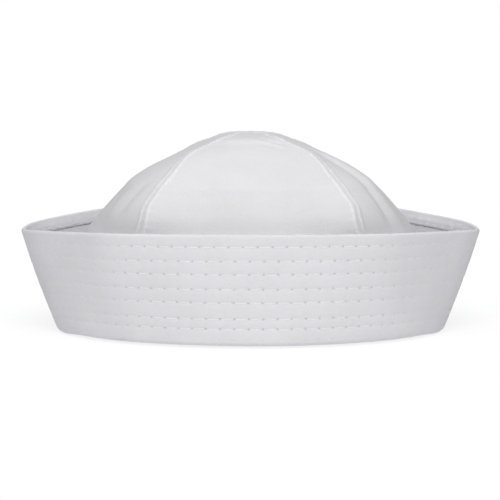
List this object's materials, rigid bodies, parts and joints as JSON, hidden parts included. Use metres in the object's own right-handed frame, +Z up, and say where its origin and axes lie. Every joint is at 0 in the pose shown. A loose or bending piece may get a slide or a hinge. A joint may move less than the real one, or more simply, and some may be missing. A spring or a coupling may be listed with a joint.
{
  "type": "sailor cap",
  "caption": "Soft white cotton cap with a round gored crown inside a stiff stitched brim, turned up all round.",
  "frame": {"origin": "on the surface that the cap rests on, under the middle of the cap", "axes": "+X to the right of the front view and along the cap's long side, -Y to the front, +Z up through the crown's tip"},
  "size_m": [0.2656, 0.2284, 0.1158],
  "materials": {
    "crown_cotton": "matte",
    "brim_cotton": "matte"
  },
  "bodies": {
    "root": {"crown_gore_front": "crown_cotton", "crown_gore_right": "crown_cotton", "crown_gore_back": "crown_cotton", "crown_gore_left": "crown_cotton", "brim": "brim_cotton", "brim_facing": "brim_cotton"}
  },
  "joints": []
}
